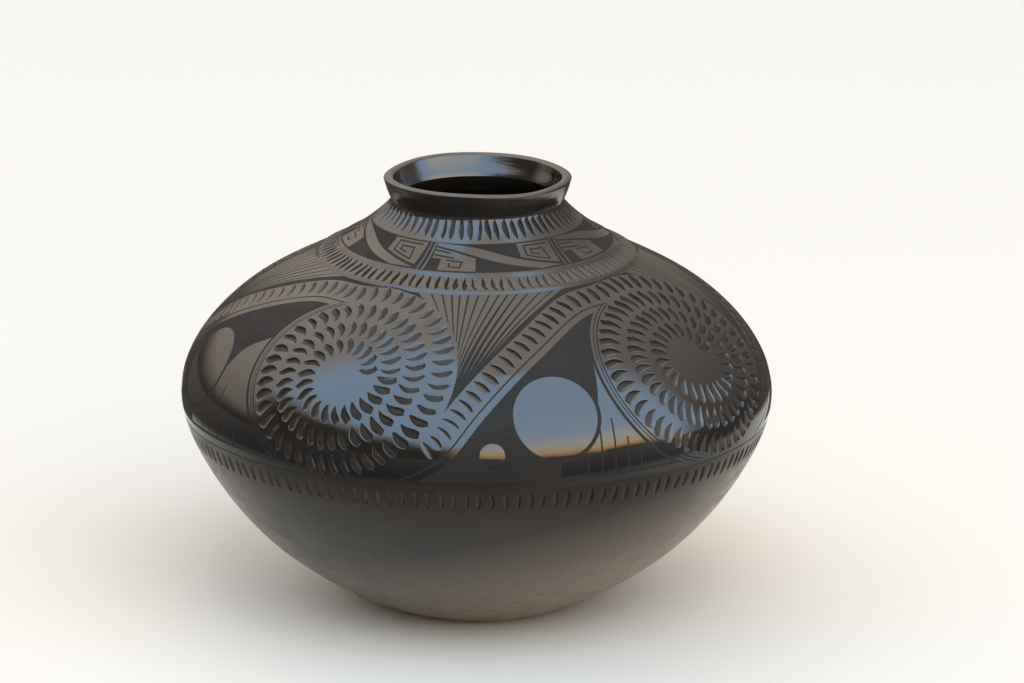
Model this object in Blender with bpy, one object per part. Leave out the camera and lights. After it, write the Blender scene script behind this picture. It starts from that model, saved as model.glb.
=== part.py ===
"""Hand-built pottery olla: a wide round pot with a small flat foot and a short flared neck.

The pot is raised as a potter raises it. A slab is pressed in a saucer for the base, coils
are bonded on top of each other for the belly, the shoulder and the neck, and a last coil
makes the lip. Each is one solid here, and each meets the next one on a bevelled seat.
Three rings of notches are then gouged round the outside, freehand in the real pot: at the
foot of the belly, high on the shoulder and round the neck.

Metres, +Z up. The origin is at the middle of the foot, on the surface the pot stands on.
"""
import math

import bmesh
import bpy
import numpy as np

# Outer radius of the pot at each station of its profile, from the foot to the lip
FOOT_RADIUS = 0.0380
SAUCER_RADIUS = 0.0707
FLANK_RADIUS = 0.1034
HAUNCH_RADIUS = 0.1401
BELLY_RADIUS = 0.1500
SHOULDER_RADIUS = 0.1158
COLLAR_RADIUS = 0.0788
NECK_FOOT_RADIUS = 0.0524
NECK_SIDE_RADIUS = 0.0452
WAIST_RADIUS = 0.0441
THROAT_RADIUS = 0.0447
LIP_RADIUS = 0.0476

# Height of each station above the one before it
SAUCER_RISE = 0.0113
FLANK_RISE = 0.0224
HAUNCH_RISE = 0.0461
BELLY_RISE = 0.0302
SHOULDER_RISE = 0.0523
COLLAR_RISE = 0.0203
NECK_FOOT_RISE = 0.0176
NECK_SIDE_RISE = 0.0070
WAIST_RISE = 0.0017
THROAT_RISE = 0.0034
LIP_RISE = 0.0095

# The fired wall, how high the lip's edge is crowned, and how far the seats slant along the wall
WALL = 0.0050
LIP_CROWN = 0.0010
SEAT_SLANT = 0.0060
SEAT_GAP = 0.0003

# Seams, as distances along the outer profile from the belly line or the neck's foot
BASE_SEAM_BELOW_BELLY = 0.0260
BELLY_SEAM_ABOVE_BELLY = 0.0560
SHOULDER_SEAM_BELOW_NECK = 0.0003
LIP_SEAM_ABOVE_NECK = 0.0136

# Gouged rings: how many notches go round, how tall they are, and where they start or end
BELLY_NOTCHES = 146
BELLY_NOTCH_HEIGHT = 0.0100
BELLY_NOTCHES_ABOVE_SEAM = 0.0035
SHOULDER_NOTCHES = 102
SHOULDER_NOTCH_HEIGHT = 0.0098
SHOULDER_NOTCHES_BELOW_NECK = 0.0325
NECK_NOTCHES = 66
NECK_NOTCH_MARGIN = 0.0013

# A notch: its depth, then its width and its steep wall as shares of its pitch round the pot,
# and its tapered tips as a share of its height
NOTCH_DEPTH = 0.0013
NOTCH_WIDTH_SHARE = 0.76
NOTCH_WALL_SHARE = 0.15
NOTCH_TIP_SHARE = 0.26

# Mesh fineness: faces round the pot, and the length of a face along the profile
FACES_ROUND = 64
OUTER_STEP = 0.0105
INNER_STEP = 0.0150
LIP_FACES = 6
CURVE_SAMPLES = 600


def remove_old_objects():
    for old in list(bpy.data.objects):
        bpy.data.objects.remove(old, do_unlink=True)


def clay(name, colour, roughness):
    """Fired clay, more or less burnished."""
    material = bpy.data.materials.new(name)
    material.use_nodes = True
    shader = material.node_tree.nodes["Principled BSDF"]
    shader.inputs["Base Color"].default_value = (*colour, 1.0)
    shader.inputs["Roughness"].default_value = roughness
    shader.inputs["Metallic"].default_value = 0.0
    material.diffuse_color = (*colour, 1.0)
    material.roughness = roughness
    return material


def smooth_through(values, knots, start_slope):
    """Second derivatives of the cubic spline through values, given slope first, free end last."""
    count = len(knots)
    matrix = np.zeros((count, count))
    right_side = np.zeros(count)
    steps = np.diff(knots)
    slopes = np.diff(values) / steps
    matrix[0, 0] = 2.0 * steps[0]
    matrix[0, 1] = steps[0]
    right_side[0] = 6.0 * (slopes[0] - start_slope)
    for i in range(1, count - 1):
        matrix[i, i - 1] = steps[i - 1]
        matrix[i, i] = 2.0 * (steps[i - 1] + steps[i])
        matrix[i, i + 1] = steps[i]
        right_side[i] = 6.0 * (slopes[i] - slopes[i - 1])
    matrix[-1, -1] = 1.0
    return np.linalg.solve(matrix, right_side)


def spline_values(values, knots, start_slope, places):
    bends = smooth_through(values, knots, start_slope)
    spans = np.clip(np.searchsorted(knots, places) - 1, 0, len(knots) - 2)
    width = knots[spans + 1] - knots[spans]
    ahead = (places - knots[spans]) / width
    behind = 1.0 - ahead
    straight = behind * values[spans] + ahead * values[spans + 1]
    curve = (behind ** 3 - behind) * bends[spans] + (ahead ** 3 - ahead) * bends[spans + 1]
    return straight + curve * width ** 2 / 6.0


class Profile:
    """The pot's outer outline as a smooth curve from the foot's edge to the lip."""

    def __init__(self):
        stations = (
            (FOOT_RADIUS, 0.0),
            (SAUCER_RADIUS, SAUCER_RISE),
            (FLANK_RADIUS, FLANK_RISE),
            (HAUNCH_RADIUS, HAUNCH_RISE),
            (BELLY_RADIUS, BELLY_RISE),
            (SHOULDER_RADIUS, SHOULDER_RISE),
            (COLLAR_RADIUS, COLLAR_RISE),
            (NECK_FOOT_RADIUS, NECK_FOOT_RISE),
            (NECK_SIDE_RADIUS, NECK_SIDE_RISE),
            (WAIST_RADIUS, WAIST_RISE),
            (THROAT_RADIUS, THROAT_RISE),
            (LIP_RADIUS, LIP_RISE),
        )
        radii = np.array([radius for radius, rise in stations])
        heights = np.cumsum([rise for radius, rise in stations])
        chords = np.hypot(np.diff(radii), np.diff(heights))
        knots = np.concatenate([[0.0], np.cumsum(chords)])
        places = np.linspace(0.0, knots[-1], CURVE_SAMPLES)
        self.radius = spline_values(radii, knots, 1.0, places)
        self.height = spline_values(heights, knots, 0.0, places)
        pieces = np.hypot(np.diff(self.radius), np.diff(self.height))
        self.along = np.concatenate([[0.0], np.cumsum(pieces)])
        self.length = self.along[-1]
        self.belly = self.along[int(np.argmax(self.radius))]
        self.neck = float(np.interp(knots[-5], places, self.along))
        self.waist = float(np.interp(knots[-3], places, self.along))

    def outer(self, along):
        """Point of the outer face, as radius and height, at a distance along the profile."""
        return np.array([
            np.interp(along, self.along, self.radius),
            np.interp(along, self.along, self.height),
        ])

    def outward(self, along):
        """Unit normal of the outer face in the plane of the profile."""
        reach = self.length / CURVE_SAMPLES
        ahead = self.outer(min(along + reach, self.length))
        behind = self.outer(max(along - reach, 0.0))
        run, rise = (ahead - behind) / np.linalg.norm(ahead - behind)
        return np.array([rise, -run])

    def inner(self, along):
        """Point of the inner face, one wall inside the outer one and level with it at the lip."""
        level = np.interp(along, (self.waist, self.length), (0.0, 1.0))
        across = (1.0 - level) * self.outward(along) + level * np.array([1.0, 0.0])
        return self.outer(along) - WALL * across / np.linalg.norm(across)


def stretch(start, end, step):
    """Places from start to end, evenly spaced and no more than about a step apart."""
    count = max(1, math.ceil((end - start) / step))
    return np.linspace(start, end, count + 1)


def outer_places(profile, low, high):
    """Places up the outer face, with one on the widest place where the stretch holds it."""
    if low < profile.belly < high:
        below = stretch(low, profile.belly, OUTER_STEP)
        above = stretch(profile.belly, high, OUTER_STEP)
        return np.concatenate([below, above[1:]])
    return stretch(low, high, OUTER_STEP)


def plain_ring(point):
    """Evenly spaced points of a ring: each has its order round the pot, turn, radius and height."""
    turns = [2.0 * math.pi * i / FACES_ROUND for i in range(FACES_ROUND)]
    return [(turn, turn, *point) for turn in turns]


class NotchBand:
    """A ring of gouged notches. Each has a steep wall on one side and runs out on the other."""

    def __init__(self, count, low, high, steep_side):
        self.count = count
        self.low = low
        self.high = high
        self.steep_side = steep_side

    def ring(self, profile, place, marks):
        """A ring with the same marks in every notch: order, share of the pitch and depth."""
        pitch = 2.0 * math.pi / self.count
        made = []
        for i in range(self.count):
            for order, share, depth in marks:
                radius, height = profile.outer(place) - depth * profile.outward(place)
                made.append((pitch * (i + order), pitch * (i + share), radius, height))
        return made

    def rings(self, profile):
        """The notches' lower tips, two rings across the notches, and their upper tips."""
        half = NOTCH_WIDTH_SHARE / 2.0
        wall = NOTCH_WALL_SHARE
        shares = [0.5 - half, 0.5 + half - wall, 0.5 + half]
        tip_share = 0.5 + half - 2.0 * wall
        if self.steep_side < 0:
            shares = [1.0 - share for share in reversed(shares)]
            tip_share = 1.0 - tip_share
        across = list(zip((0.2, 0.55, 0.8), shares, (0.0, NOTCH_DEPTH, 0.0)))
        tip = [(0.5, tip_share, 0.0)]
        taper = NOTCH_TIP_SHARE * (self.high - self.low)
        return [
            self.ring(profile, self.low, tip),
            self.ring(profile, self.low + taper, across),
            self.ring(profile, self.high - taper, across),
            self.ring(profile, self.high, tip),
        ]


def outer_rings(profile, low, high, band=None):
    """Rings up the outer face, with the band's own rings where it has one."""
    if band is None:
        return [plain_ring(profile.outer(place)) for place in outer_places(profile, low, high)]
    below = outer_places(profile, low, band.low)[:-1]
    above = outer_places(profile, band.high, high)[1:]
    lower = [plain_ring(profile.outer(place)) for place in below]
    upper = [plain_ring(profile.outer(place)) for place in above]
    return lower + band.rings(profile) + upper


def lip_rings(profile):
    """The crowned edge of the lip, from the wall's outer face over the top to its inner face."""
    outer = profile.outer(profile.length)
    inner = profile.inner(profile.length)
    middle = (outer + inner) / 2.0
    sideways = outer - middle
    upward = np.array([0.0, LIP_CROWN])
    turns = np.linspace(0.0, math.pi, LIP_FACES + 1)[1:-1]
    points = [middle + math.cos(turn) * sideways + math.sin(turn) * upward for turn in turns]
    return [plain_ring(point) for point in points]


def inner_rings(profile, top, low):
    """Rings down the inner face."""
    return [plain_ring(profile.inner(place)) for place in stretch(low, top, INNER_STEP)[::-1]]


def seat_shift():
    """Half the distance along the wall that leaves the seat gap square to a slanted seat."""
    return 0.5 * SEAT_GAP * math.hypot(WALL, SEAT_SLANT) / WALL


def coil_rings(profile, seam_below, seam_above, band=None):
    """Closed section of a coil between two seams, from its lower outer edge round to its start."""
    low = seam_below + seat_shift()
    if seam_above is None:
        made = outer_rings(profile, low, profile.length, band)
        made += lip_rings(profile)
        inner_top = profile.length
    else:
        high = seam_above - seat_shift()
        made = outer_rings(profile, low, high, band)
        inner_top = high + SEAT_SLANT
    return made + inner_rings(profile, inner_top, low + SEAT_SLANT)


def base_rings(profile, seam_above):
    """Section of the base from the foot's edge up its outer face and down its inner one."""
    high = seam_above - seat_shift()
    return outer_rings(profile, 0.0, high) + inner_rings(profile, high + SEAT_SLANT, 0.0)


def laid(mesh, ring):
    """A ring's points as vertices, each with its order."""
    return [
        (order, mesh.verts.new((radius * math.cos(turn), radius * math.sin(turn), height)))
        for order, turn, radius, height in ring
    ]


def bridge(mesh, lower, upper):
    """Faces between two rings: squares, or triangles where one ring has more points."""
    rounds = 2.0 * math.pi
    counts = len(lower), len(upper)
    lower = lower + [(lower[0][0] + rounds, lower[0][1])]
    upper = upper + [(upper[0][0] + rounds, upper[0][1])]
    if counts[0] == counts[1]:
        for i in range(counts[0]):
            mesh.faces.new((lower[i][1], lower[i + 1][1], upper[i + 1][1], upper[i][1]))
        return
    i = j = 0
    while i < counts[0] or j < counts[1]:
        if j == counts[1] or (i < counts[0] and lower[i + 1][0] <= upper[j + 1][0]):
            mesh.faces.new((lower[i][1], lower[i + 1][1], upper[j][1]))
            i += 1
        else:
            mesh.faces.new((lower[i][1], upper[j + 1][1], upper[j][1]))
            j += 1


def cap(mesh, edge, height, facing_down):
    """A flat disc that closes a ring at the pot's axis."""
    middle = mesh.verts.new((0.0, 0.0, height))
    corners = [vertex for order, vertex in edge]
    for here, after in zip(corners, corners[1:] + corners[:1]):
        if facing_down:
            mesh.faces.new((middle, after, here))
        else:
            mesh.faces.new((middle, here, after))


def finished_object(name, mesh, material):
    data = bpy.data.meshes.new(name)
    mesh.to_mesh(data)
    mesh.free()
    data.materials.append(material)
    data.shade_smooth()
    data.set_sharp_from_angle(angle=math.radians(35.0))
    made = bpy.data.objects.new(name, data)
    bpy.context.scene.collection.objects.link(made)
    return made


def make_coil(name, rings, material):
    mesh = bmesh.new()
    laid_rings = [laid(mesh, ring) for ring in rings]
    for lower, upper in zip(laid_rings, laid_rings[1:] + laid_rings[:1]):
        bridge(mesh, lower, upper)
    return finished_object(name, mesh, material)


def make_base(name, rings, material):
    mesh = bmesh.new()
    laid_rings = [laid(mesh, ring) for ring in rings]
    for lower, upper in zip(laid_rings, laid_rings[1:]):
        bridge(mesh, lower, upper)
    cap(mesh, laid_rings[0], rings[0][0][-1], True)
    cap(mesh, laid_rings[-1], rings[-1][0][-1], False)
    return finished_object(name, mesh, material)


def build_olla():
    profile = Profile()
    base_seam = profile.belly - BASE_SEAM_BELOW_BELLY
    belly_seam = profile.belly + BELLY_SEAM_ABOVE_BELLY
    shoulder_seam = profile.neck - SHOULDER_SEAM_BELOW_NECK
    lip_seam = profile.neck + LIP_SEAM_ABOVE_NECK

    bowl_clay = clay("bowl_clay", (0.060, 0.052, 0.044), 0.34)
    belly_clay = clay("belly_clay", (0.055, 0.050, 0.048), 0.42)
    shoulder_clay = clay("shoulder_clay", (0.058, 0.053, 0.050), 0.45)
    neck_clay = clay("neck_clay", (0.040, 0.034, 0.030), 0.30)
    lip_clay = clay("lip_clay", (0.036, 0.029, 0.024), 0.25)

    belly_notches = base_seam + BELLY_NOTCHES_ABOVE_SEAM
    shoulder_notches = profile.neck - SHOULDER_NOTCHES_BELOW_NECK
    belly_band = NotchBand(
        BELLY_NOTCHES, belly_notches, belly_notches + BELLY_NOTCH_HEIGHT, 1)
    shoulder_band = NotchBand(
        SHOULDER_NOTCHES, shoulder_notches, shoulder_notches + SHOULDER_NOTCH_HEIGHT, -1)
    neck_band = NotchBand(
        NECK_NOTCHES, shoulder_seam + NECK_NOTCH_MARGIN, lip_seam - NECK_NOTCH_MARGIN, 1)

    make_base("base_bowl", base_rings(profile, base_seam), bowl_clay)
    make_coil(
        "belly_coil", coil_rings(profile, base_seam, belly_seam, belly_band), belly_clay)
    make_coil(
        "shoulder_coil", coil_rings(profile, belly_seam, shoulder_seam, shoulder_band),
        shoulder_clay)
    make_coil(
        "neck_coil", coil_rings(profile, shoulder_seam, lip_seam, neck_band), neck_clay)
    make_coil("lip_coil", coil_rings(profile, lip_seam, None), lip_clay)


remove_old_objects()
build_olla()
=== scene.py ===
"""Look of a hand-built pottery olla: burnished dark clay, gouged bands, rosettes, painted grounds.

The pot's sizes here are in millimetres. A place on its wall is a turn and a rise: degrees round
the pot from the side that faces the camera, and millimetres along the wall above the belly line.
A clock is a direction on the wall, in degrees clockwise from straight up, seen from outside.
"""
import math
import random

import bpy
import numpy as np
from mathutils import Matrix, Vector, kdtree
from mathutils.geometry import delaunay_2d_cdt


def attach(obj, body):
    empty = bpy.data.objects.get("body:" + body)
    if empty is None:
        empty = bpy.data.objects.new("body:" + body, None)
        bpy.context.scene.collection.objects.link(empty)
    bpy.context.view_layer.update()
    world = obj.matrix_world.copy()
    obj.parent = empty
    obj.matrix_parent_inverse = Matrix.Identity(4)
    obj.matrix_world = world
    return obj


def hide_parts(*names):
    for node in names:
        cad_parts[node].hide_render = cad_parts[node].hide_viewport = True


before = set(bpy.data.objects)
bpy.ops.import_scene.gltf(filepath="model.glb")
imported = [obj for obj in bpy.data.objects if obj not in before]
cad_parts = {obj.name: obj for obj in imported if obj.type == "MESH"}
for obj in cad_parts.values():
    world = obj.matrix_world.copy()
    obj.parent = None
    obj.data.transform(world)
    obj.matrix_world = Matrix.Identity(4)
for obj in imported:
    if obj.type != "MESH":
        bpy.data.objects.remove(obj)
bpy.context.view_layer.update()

MM = 0.001

# Outer profile: radius of each station, and its height above the station before
STATIONS = (
    (38.0, 0.0), (70.7, 11.3), (103.4, 22.4), (140.1, 46.1), (150.0, 30.2), (115.8, 52.3),
    (78.8, 20.3), (52.4, 17.6), (45.2, 7.0), (44.1, 1.7), (44.7, 3.4), (47.6, 9.5),
)
WALL = 5.0
LIP_CROWN = 1.0
WAIST_STATION = -3
PROFILE_SAMPLES = 3000

# Waves in the hand-smoothed wall, which ease in above the foot: depth, count round the pot, rise
# for one radian, and phase
MEAN_DIP = 0.34
FOOT_EASE = 25.0
WAVES = (
    (0.10, 2.0, math.inf, 0.7), (0.06, 3.0, 60.0, -1.1), (0.05, 5.0, 17.0, -0.5 * math.pi),
    (0.03, 9.0, -11.0, 2.0 - 0.5 * math.pi), (0.02, 13.0, 23.0, 1.0),
)

# Waves in the lip: depth, count round the pot and phase, and the rises where they begin and are full
LIP_WAVES = ((0.45, 2.0, 0.4), (0.30, 3.0, 2.0), (0.18, 5.0, 0.0))
LIP_SWAY = (148.0, 163.0)

# Low terraces in the shoulder: height, and the rises of their foot, top and end
TERRACES = ((0.75, 102.8, 106.2, 114.0), (0.55, 114.4, 118.4, 128.0))

# Seams between the pieces, as rises
BASE_SEAM = -26.0
NECK_SEAM = 138.1
LIP_SEAM = 152.0

# Mesh fineness: places in a ring, the grain of free places, and steps along drawn lines
ROUND = 360
GRAIN = 2.5
NECK_GRAIN = 1.8
FINE_GRAIN = 1.0
FINE_SPANS = ((102.0, 106.8), (113.8, 119.2))
EDGE_STEP = 1.6
BAND_STEP = 0.8
ARC_STEP = 1.3

# Free places, in grains: pitch of the rows and within a row, scatter, and clearance from lines
ROW_PITCH = 0.87
PLACE_PITCH = 1.3
TURN_SCATTER = 0.12
RISE_SCATTER = 0.1
CLEARANCE = 0.36

# Scratched lines: depth, length of the tapered ends, and share of the width left at the tips
STROKE_DEPTH = 0.18
STROKE_TAPER = 3.0
STROKE_TIP = 0.3

# Places across a notch, and the power that rounds its ends
NOTCH_PLACES = 9
NOTCH_POWER = 0.6

# Kinds of face, and the layers in which their zones are laid
BURNISHED, MATTE, SATIN, SLOPE, SATIN_SLOPE, CUT, STEEP = range(7)
GROUND_LAYER, LINE_LAYER, NOTCH_LAYER = range(3)

dice = random.Random(8)


# Profile and surface

def unit(vectors):
    length = np.linalg.norm(vectors, axis=-1, keepdims=True)
    return vectors / np.maximum(length, 1e-12)


def spline_at(values, knots, start_slope, places):
    """A cubic spline through values at knots, with a given slope at its start and a free end."""
    steps = np.diff(knots)
    slopes = np.diff(values) / steps
    both = np.append(0.0, steps) + np.append(steps, 0.0)
    matrix = np.diag(2.0 * both) + np.diag(steps, 1) + np.diag(steps, -1)
    matrix[-1] = 0.0
    matrix[-1, -1] = 1.0
    bends = np.linalg.solve(matrix, 6.0 * np.append(np.diff(slopes, prepend=start_slope), 0.0))
    span = np.clip(np.searchsorted(knots, places) - 1, 0, len(steps) - 1)
    width = steps[span]
    ahead = (places - knots[span]) / width
    behind = 1.0 - ahead
    straight = behind * values[span] + ahead * values[span + 1]
    bent = (behind ** 3 - behind) * bends[span] + (ahead ** 3 - ahead) * bends[span + 1]
    return straight + bent * width ** 2 / 6.0


class Profile:
    """The outer outline as tables over the rise, with the direction across the wall.

    Across is square to the outline, but turns level from the waist to the lip. shrink is the
    distance up the drawing chart.
    """

    def __init__(self):
        radii, climbs = np.array(STATIONS).T
        heights = np.cumsum(climbs)
        chords = np.hypot(np.diff(radii), np.diff(heights))
        knots = np.concatenate([[0.0], np.cumsum(chords)])
        places = np.linspace(0.0, knots[-1], PROFILE_SAMPLES)
        self.radii = spline_at(radii, knots, 1.0, places)
        self.heights = spline_at(heights, knots, 0.0, places)
        lengths = np.hypot(np.diff(self.radii), np.diff(self.heights))
        along = np.concatenate([[0.0], np.cumsum(lengths)])
        self.rises = along - along[int(np.argmax(self.radii))]
        out = np.gradient(self.heights, along)
        up = -np.gradient(self.radii, along)
        waist = np.interp(knots[WAIST_STATION], places, along)
        level = np.clip((along - waist) / (along[-1] - waist), 0.0, 1.0)
        across = np.stack([(1.0 - level) * out + level, (1.0 - level) * up], -1)
        self.out, self.up = unit(across).T
        steps = lengths / (0.5 * (self.radii[1:] + self.radii[:-1]))
        self.shrink = np.concatenate([[0.0], np.cumsum(steps)])
        self.low = self.rises[0]
        self.high = self.rises[-1]

    def radius(self, rise):
        return np.interp(rise, self.rises, self.radii)


profile = Profile()


def smooth_step(value, low, high):
    share = np.clip((value - low) / (high - low), 0.0, 1.0)
    return share * share * (3.0 - 2.0 * share)


def terrace(rise, foot, top, end):
    """A step up the wall that eases back to the outline."""
    return smooth_step(rise, foot, top) * (1.0 - smooth_step(rise, top, end))


def unevenness(angle, rise):
    """How far the hand-smoothed wall dips under the true outline, but for two low terraces."""
    dip = MEAN_DIP
    for depth, count, span, phase in WAVES:
        dip = dip + depth * np.cos(count * angle + rise / span + phase)
    raised = sum(height * terrace(rise, *rises) for height, *rises in TERRACES)
    return dip * smooth_step(rise, profile.low, profile.low + FOOT_EASE) - raised


def lip_sway(angle, rise):
    """The lip's hand-made waviness, downwards only."""
    sway = sum(depth * (np.cos(count * angle + phase) - 1.0) for depth, count, phase in LIP_WAVES)
    return sway * smooth_step(rise, *LIP_SWAY)


def surface(turn, rise, depth=0.0, ahead=0.0):
    """Points of the wall, depth under its outer face and ahead of the place along its slope."""
    turn, rise, depth = np.broadcast_arrays(turn, rise, depth)
    angle = np.radians(turn)
    out = np.interp(rise, profile.rises, profile.out)
    up = np.interp(rise, profile.rises, profile.up)
    sink = depth + unevenness(angle, rise)
    radius = profile.radius(rise) - out * sink - up * ahead
    height = np.interp(rise, profile.rises, profile.heights) - up * sink + out * ahead
    height = height + lip_sway(angle, rise)
    return np.stack([radius * np.sin(angle), -radius * np.cos(angle), height], -1)


def surface_normal(turn, rise):
    """Outward normals of the smooth wall, from small steps round and up it."""
    step = 0.4
    swing = np.degrees(step / profile.radius(rise))
    across = surface(turn + swing, rise) - surface(turn - swing, rise)
    upward = surface(turn, rise + step) - surface(turn, rise - step)
    return unit(np.cross(across, upward))


# Drawing on the wall

def shifted(turn, rise, right, up):
    """The place a few millimetres right and up of a place."""
    new_rise = rise + up
    return turn + np.degrees(right / profile.radius(0.5 * (rise + new_rise))), new_rise


def polar(turn, rise, reach, clock):
    """Places at a distance from a place, straight along the wall in the clock's direction."""
    reach, heading = np.broadcast_arrays(np.asarray(reach, float), np.radians(clock))
    turns = np.full(reach.shape, float(turn))
    rises = np.full(reach.shape, float(rise))
    steps = 16
    stride = reach / steps
    for i in range(steps):
        half_rise = rises + 0.5 * stride * np.cos(heading)
        bend = np.interp(half_rise, profile.rises, profile.up) / profile.radius(half_rise)
        half_heading = heading + 0.5 * stride * bend * np.sin(heading)
        turns = turns + np.degrees(stride * np.sin(half_heading) / profile.radius(half_rise))
        rises = rises + stride * np.cos(half_heading)
        heading = heading + stride * bend * np.sin(half_heading)
    return np.stack([turns, rises], -1)


def arc(turn, rise, reach, start, end):
    """Places on a circle from one clock to another."""
    count = max(3, int(abs(math.radians(end - start)) * reach / ARC_STEP))
    return polar(turn, rise, reach, np.linspace(start, end, count))


def path_steps(path):
    """The steps of a path to the right and upwards."""
    middle = 0.5 * (path[1:, 1] + path[:-1, 1])
    return np.radians(np.diff(path[:, 0])) * profile.radius(middle), np.diff(path[:, 1])


def distances(path):
    """How far along a path each of its places is."""
    return np.concatenate([[0.0], np.cumsum(np.hypot(*path_steps(path)))])


def fine(points):
    """The straight-sided path through points, with a place about every EDGE_STEP."""
    points = np.asarray(points, float)
    parts = []
    for start, end, length in zip(points, points[1:], np.diff(distances(points))):
        count = max(1, int(round(length / EDGE_STEP)))
        parts.append(start + np.arange(count)[:, None] / count * (end - start))
    return np.concatenate(parts + [points[-1:]])


def smooth_path(points, step=EDGE_STEP):
    """A smooth curve through points, with a place about every step millimetres."""
    points = np.asarray(points, float)
    knots = distances(points)
    places = np.linspace(0.0, knots[-1], max(3, int(knots[-1] / step) + 1))
    starts = (points[1] - points[0]) / (knots[1] - knots[0])
    return np.stack([spline_at(points[:, i], knots, starts[i], places) for i in (0, 1)], 1)


def headings(path):
    """Direction of a path at each place, as an angle from rightwards towards upwards."""
    right, up = path_steps(path)
    angles = np.unwrap(np.arctan2(up, right))
    return np.concatenate([[angles[0]], 0.5 * (angles[1:] + angles[:-1]), [angles[-1]]])


def beside(path, left):
    """A path that runs so many millimetres to the left of another."""
    angles = headings(path)
    turns, rises = shifted(*path.T, -np.sin(angles) * left, np.cos(angles) * left)
    return np.stack([turns, rises], 1)


def meeting(path, other):
    """Where two paths come closest: the number of the place on each."""
    gap = surface(*path.T)[:, None] - surface(*other.T)[None]
    closest = int(np.argmin(np.linalg.norm(gap, axis=-1)))
    return divmod(closest, len(other))


def chart(turn, rise):
    """The wall laid flat as a disc that keeps its angles, with the neck in the middle."""
    reach = np.exp(-np.interp(rise, profile.rises, profile.shrink))
    angle = np.radians(turn)
    return np.stack([reach * np.cos(angle), reach * np.sin(angle)], -1)


def off_chart(points):
    """Turns and rises of points on the chart."""
    reach = np.maximum(np.hypot(*points.T), 1e-6)
    turns = np.degrees(np.arctan2(points[:, 1], points[:, 0]))
    return turns, np.interp(-np.log(reach), profile.shrink, profile.rises)


def inside(polygon, points):
    """Which points lie in a polygon of the chart."""
    near = np.nonzero(((points > polygon.min(0)) & (points < polygon.max(0))).all(1))[0]
    x = points[near, 0]
    y = points[near, 1]
    odd = np.zeros(len(near), bool)
    for (ax, ay), (bx, by) in zip(polygon, np.roll(polygon, -1, axis=0)):
        if ay != by:
            odd ^= ((ay > y) != (by > y)) & (x < ax + (y - ay) * (bx - ax) / (by - ay))
    return near[odd]


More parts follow.
